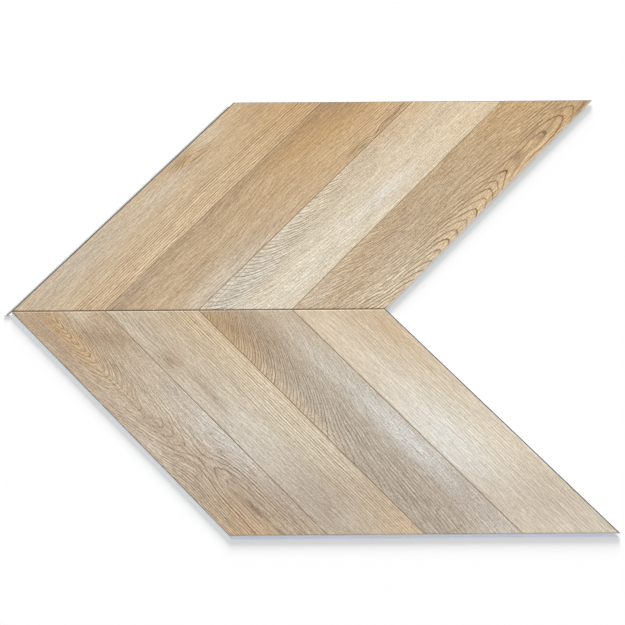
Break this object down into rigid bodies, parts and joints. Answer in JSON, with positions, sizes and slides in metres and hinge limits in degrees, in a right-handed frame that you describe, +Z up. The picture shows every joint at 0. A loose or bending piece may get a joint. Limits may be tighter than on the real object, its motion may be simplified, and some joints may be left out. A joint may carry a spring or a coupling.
{
  "type": "chevron rigid vinyl plank",
  "caption": "V-shaped floor plank of a right-hand and a left-hand rigid vinyl board, printed as oak strips with V-grooves, with click lips and undercuts round its edges.",
  "frame": {"origin": "bottom centre of the whole plank's box", "axes": "+X along the seam, away from the chevron's point; +Y across the seam, towards the right-hand board; +Z up out of the printed face"},
  "size_m": [0.8198, 0.6044, 0.006],
  "materials": {
    "oak_vinyl": "matt embossed oak print on a pale grey rigid vinyl core"
  },
  "bodies": {
    "root": {"right_hand_board": "oak_vinyl", "left_hand_board": "oak_vinyl"}
  },
  "joints": []
}
